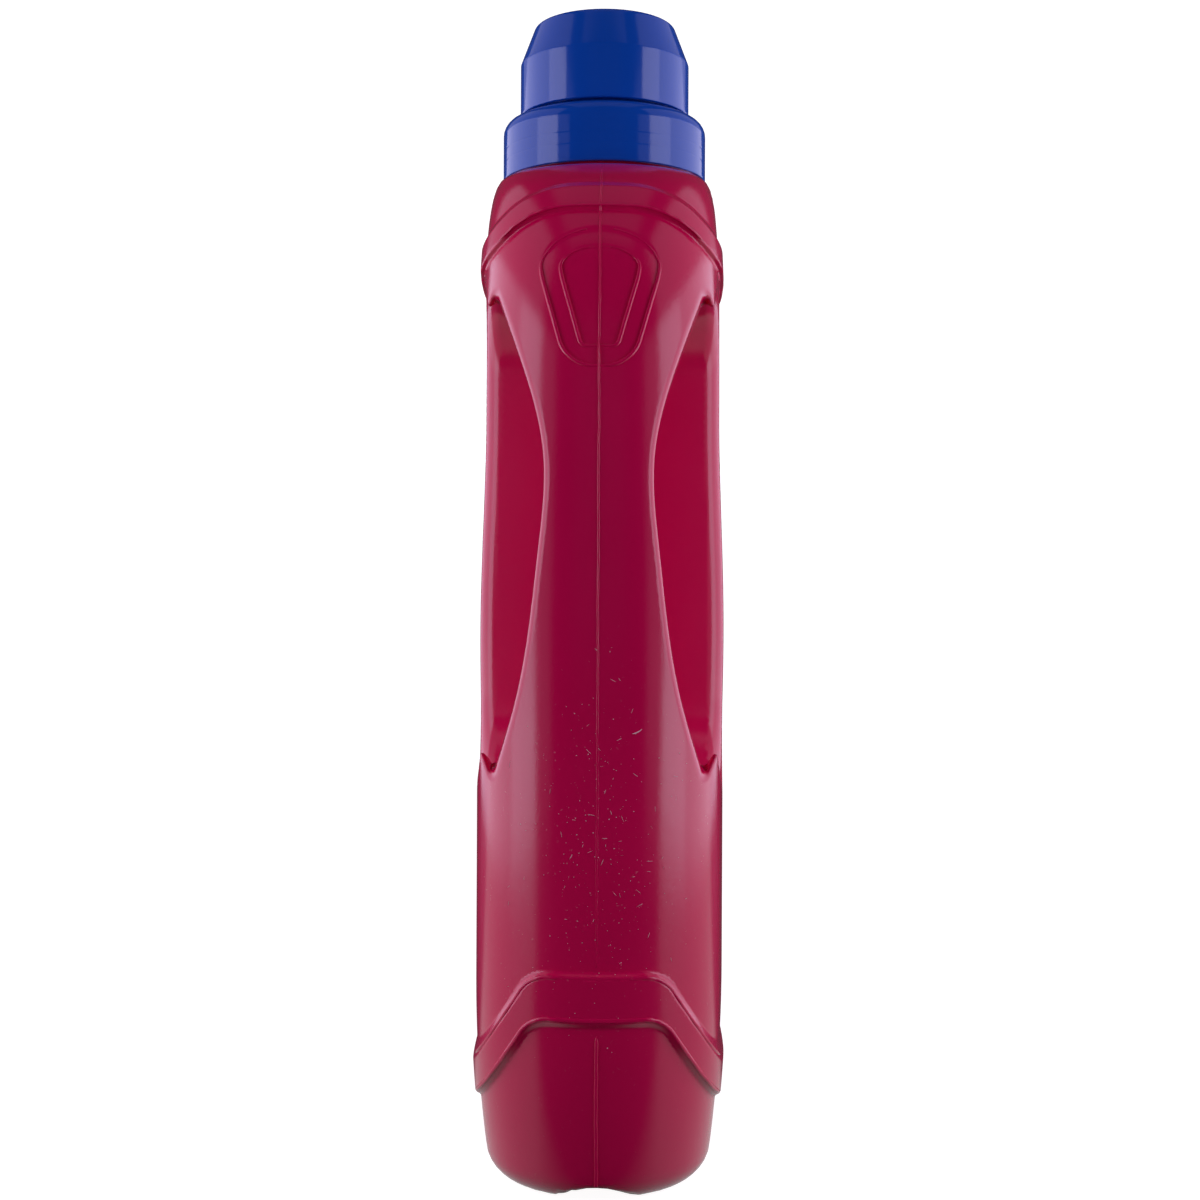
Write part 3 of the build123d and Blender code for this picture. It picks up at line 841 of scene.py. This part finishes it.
def makeNeck():
    c = neck
    outer, bore, edge, lip = c["radius"], c["radius"] - c["wall"], c["edgeRound"], c["lipRound"]
    return lathe("neckFinish", roundLoop([
        (bore, c["low"], edge), (outer, c["low"], edge), (outer, c["beadZ"] - c["beadHalf"], edge),
        (outer + c["bead"], c["beadZ"], c["beadRound"]), (outer, c["beadZ"] + c["beadHalf"], edge),
        (outer, c["top"], lip), (bore, c["top"], lip)]), c["segments"])


place(makeNeck(), "bottle", "bottle", crimson)

# pouring collar: outer skirt, drain-back bowl and the slanted spout in it
collar = dict(
    radius=27.5, wall=1.5, low=257.0, top=273.4, shoulder=4.0,
    bowlOuter=22.05, bowlWall=1.5, floor=259.9, drop=2.0, plate=1.5,
    snap=260.6, snapHalf=0.8, snapRise=1.1, rings=(261.8, 264.9), ringHalf=0.3, ringDepth=0.018,
    spout=10.5, spoutWall=1.3, spoutTip=288.6, spoutHeel=265.4, spoutLow=248.4, spoutLip=1.06, seat=0.4,
    segments=256, spoutSegments=128)


def makeCollar():  # corners are (radius, height, rounding)
    c = collar
    outer, inner, under = c["radius"], c["radius"] - c["wall"], c["top"] - c["wall"]
    bowl, seat, seatZ = c["bowlOuter"] - c["bowlWall"], c["spout"] - c["seat"], c["floor"] - c["drop"]
    corners = [(inner, c["low"], 0.35), (outer, c["low"], 0.4)]
    for z in c["rings"]:  # hair-fine grooves
        corners += [(outer, z - c["ringHalf"], 0.1), (outer - c["ringDepth"], z, 0.2),
                    (outer, z + c["ringHalf"], 0.1)]
    corners += [
        (outer, c["top"], c["shoulder"]), (bowl, c["top"], 0.5), (bowl, c["floor"], 1.2),
        (seat, seatZ, 0.0), (seat, seatZ - c["plate"], 0.0),
        (c["bowlOuter"], c["floor"] - c["plate"], 0.8), (c["bowlOuter"], under, 0.6), (inner, under, 1.2),
        (inner, c["snap"] + c["snapHalf"], 0.2), (inner - c["snapRise"], c["snap"], 0.3),
        (inner, c["snap"] - c["snapHalf"], 0.2)]
    return lathe("pourCollar", roundLoop(corners, 8), c["segments"])


def makeSpout():  # tube with a slanted rim, z(a) = heel + (tip - heel) min(1, lip (1 - cos a) / 2)
    c = collar
    a = np.linspace(0, 2 * np.pi, c["spoutSegments"], endpoint=False)
    climb = np.clip((1 - np.cos(a)) / 2 * c["spoutLip"], 0, 1)
    top = c["spoutHeel"] + (c["spoutTip"] - c["spoutHeel"]) * climb
    outer, inner = c["spout"], c["spout"] - c["spoutWall"]
    half, mid = (outer - inner) / 2, (outer + inner) / 2
    s, q = np.linspace(0, 1, 8)[:-1], np.linspace(0, np.pi, 9)  # up the wall, over the rim
    wall = c["spoutLow"] + np.outer(s, top - half - c["spoutLow"])
    rim = top - half + half * np.sin(q)[:, None]
    r = np.concatenate([np.full(len(s), outer), mid + half * np.cos(q), np.full(len(s), inner)])[:, None]
    z = np.concatenate([wall, rim, wall[::-1]])
    points = np.stack([r * np.cos(a), r * np.sin(a), z], -1).transpose(1, 0, 2)
    return makeObject("pourSpout", points.reshape(-1, 3) * mm, ringQuads(len(a), len(r)))


for piece in (makeCollar(), makeSpout()):
    place(piece, "bottle", "pour_spout", blue)
print("collar done")

# dosing cap: skirt, cone and domed crown outside, plug with its thread inside
cap = dict(
    radius=22.9, wall=1.5, low=274.6, waist=288.7, waistRound=1.4, coneTop=298.9, crown=19.0, edgeRound=1.6,
    top=301.5, segments=256,
    plugLow=262.9, plugOuter=19.95, plugWall=1.4, grooveTop=286.5, cupRise=1.5, cupRound=2.0,
    threadRise=0.34, threadHalf=0.9, threadStart=2.2, threadTurns=1.6, threadPitch=5.0, threadFade=0.35,
    threadPoints=260)


def makeCap():  # corners are (radius, height, rounding), the shallow dome is z = top - dome s^2
    c = cap
    outer, inner = c["radius"], c["radius"] - c["wall"]
    plugOuter, plugInner = c["plugOuter"], c["plugOuter"] - c["plugWall"]
    crown, dome = c["crown"], c["top"] - c["coneTop"]
    cupCrown, cupTop = crown - c["wall"], c["top"] - c["wall"]
    corners = [(plugInner, c["plugLow"], 0.4), (plugOuter, c["plugLow"], 0.5),
               (plugOuter, c["grooveTop"], 0.5), (inner, c["grooveTop"], 0.5),
               (inner, c["low"], 0.4), (outer, c["low"], 0.45),
               (outer, c["waist"], c["waistRound"]), (crown, c["coneTop"], c["edgeRound"])]
    corners += [(crown * s, c["top"] - dome * s**2, 0.0) for s in np.linspace(0.86, 0.001, 14)]
    corners += [(cupCrown * s, cupTop - dome * s**2, 0.0) for s in np.linspace(0.001, 1.0, 10)]
    corners.append((plugInner, c["grooveTop"] + c["cupRise"], c["cupRound"]))
    return lathe("dosingCap", roundLoop(corners, 9), c["segments"])


def makeThread():  # r = plug radius, z = z0 + pitch a / (2 pi)
    c = cap
    a = np.linspace(0, 2 * np.pi * c["threadTurns"], c["threadPoints"])
    z = c["plugLow"] + c["threadStart"] + c["threadPitch"] * a / (2 * np.pi)
    up = np.stack([np.cos(a), np.sin(a), 0 * a], 1)
    path = up * c["plugOuter"] + np.stack([0 * a, 0 * a, z], 1)
    side = np.broadcast_to([0.0, 0.0, 1.0], path.shape)
    fade = smoothStep(np.minimum(a, a[-1] - a) / c["threadFade"] + 0.05)
    return tube("capThread", path, side, up, c["threadHalf"] * fade, c["threadRise"] * fade)


for piece in (makeCap(), makeThread()):
    place(piece, "cap", "dosing_cap", blue)
print("cap done")

# stage, in metres
stage = dict(
    half=3.0, backX=-0.9, backTop=3.0, darkPaint=0.30, palePaint=0.34, mottle=(3.0, 2.0), unseenPaint=0.02,
    roughness=0.65, unlit=0.01, aheadRamp=(-0.095, -0.065, 0.0, 1.0), behindRamp=(-0.03, 0.03, 0.0, 1.0))


def paleMaterial(name, seen, mirrored, spread, wedge):  # white to the lens, dimmer to what it lights
    c = stage
    material, tree, shader = newMaterial(name)
    where = objectPoint(tree)
    ray = addNode(tree, "ShaderNodeLightPath")
    toLens = ray.outputs["Is Camera Ray"]
    paint = mixColour(tree, noise(tree, where, *c["mottle"]), grey(c["darkPaint"]), grey(c["palePaint"]))
    tree.links.new(mixColour(tree, toLens, grey(c["unseenPaint"]), paint), shader.inputs["Base Color"])
    shader.inputs["Roughness"].default_value = c["roughness"]
    glow = grey(mirrored)
    if wedge:  # painted light: in reflections the floor glows beside the bottle, where the softboxes would light it, and stays dark in front of it and behind it
        split = addNode(tree, "ShaderNodeSeparateXYZ")
        tree.links.new(where, split.inputs[0])
        out = math2(tree, "ABSOLUTE", split.outputs["Y"], 0.0)
        lean = math2(tree, "MULTIPLY", split.outputs["X"], wedge)
        ahead = remap(tree, math2(tree, "SUBTRACT", out, lean), *c["aheadRamp"])
        behind = remap(tree, math2(tree, "ADD", out, lean), *c["behindRamp"])
        glow = mixColour(tree, math2(tree, "MULTIPLY", ahead, behind), grey(c["unlit"]), glow)
    soft = mixColour(tree, ray.outputs["Is Glossy Ray"], grey(spread), glow)
    tree.links.new(mixColour(tree, toLens, soft, grey(seen)), shader.inputs["Emission Color"])
    shader.inputs["Emission Strength"].default_value = 1.0
    material.cycles.emission_sampling = "NONE"  # the softboxes do the lighting
    return material


def plane(name, corners):
    return makeObject(name, corners, [[0, 1, 2, 3]], False)


half, backX, backTop = stage["half"], stage["backX"], stage["backTop"]
floor = plane("floor", [(-half, -half, 0), (half, -half, 0), (half, half, 0), (-half, half, 0)])
floor.data.materials.append(paleMaterial("paleFloor", seen=0.95, mirrored=0.5, spread=0.02, wedge=1.376))
back = plane("backdrop", [(backX, -half, 0), (backX, half, 0),
                          (backX, half, backTop), (backX, -half, backTop)])
back.data.materials.append(paleMaterial("paleBack", seen=1.0, mirrored=0.025, spread=0.2, wedge=0.0))

# side panels are (name, x, distance from the middle, height, width, tall, glow)
lighting = dict(
    colour=(1.0, 0.93, 1.18),
    panels=(("Front", 0.27, 0.55, 0.25, 0.32, 0.50, 2.35), ("Rear", -0.345, 0.55, 0.25, 0.91, 0.50, 1.45),
            ("Wing", 0.565, 0.55, 0.25, 0.27, 0.50, 0.35), ("High", -0.185, 0.58, 0.82, 1.23, 0.62, 0.45)),
    skyUnseen=(0.02, 0.02, 0.021, 1), skySeen=(1.0, 1.0, 1.0, 1))


# glow is the panel's radiance, power = pi area glow
def softbox(name, spot, aim, width, height, glow, mirrored=True):
    light = bpy.data.lights.new(name, "AREA")
    light.shape = "RECTANGLE"
    light.size, light.size_y = width, height
    light.energy = math.pi * width * height * glow
    light.color = lighting["colour"]
    lamp = bpy.data.objects.new(name, light)
    bpy.context.scene.collection.objects.link(lamp)
    lamp.location = spot
    lamp.rotation_euler = (Vector(aim) - Vector(spot)).to_track_quat("-Z", "Y").to_euler()
    lamp.visible_glossy = mirrored


for side, sign in (("left", -1), ("right", 1)):
    for name, x, away, z, width, tall, glow in lighting["panels"]:
        softbox(side + name, (x, away * sign, z), (x, 0.0, z), width, tall, glow)
softbox("topBox", (0.1, 0.0, 1.1), (0.0, 0.0, 0.2), width=0.7, height=0.7, glow=0.15)
softbox("frontFill", (1.5, 0.0, 0.55), (0.0, 0.0, 0.14), width=1.2, height=1.0, glow=0.75, mirrored=False)

world = bpy.data.worlds.new("studio")
bpy.context.scene.world = world
world.use_nodes = True
sky = mixColour(world.node_tree, addNode(world.node_tree, "ShaderNodeLightPath").outputs["Is Camera Ray"],
                lighting["skyUnseen"], lighting["skySeen"])
world.node_tree.links.new(sky, world.node_tree.nodes["Background"].inputs["Color"])

# camera at the photograph's view of the narrow side, metres and degrees
view = dict(distance=0.492, height=0.1434, shiftY=-0.00065, yaw=0.85, roll=-0.26,
            sensor=36.0, halfField=0.3334)
camera = bpy.data.objects.new("camera", bpy.data.cameras.new("camera"))
bpy.context.scene.collection.objects.link(camera)
yaw, away = math.radians(view["yaw"]), view["distance"]
camera.location = (away * math.cos(yaw), away * math.sin(yaw) + view["shiftY"], view["height"])
camera.rotation_euler = (math.pi / 2, math.radians(view["roll"]), math.pi / 2 + yaw)
camera.data.sensor_width = view["sensor"]
camera.data.lens = view["sensor"] / (2 * view["halfField"])  # halfField is the tangent of half the angle
bpy.context.scene.camera = camera
bpy.context.scene.view_settings.view_transform = "Standard"
print("stage done")
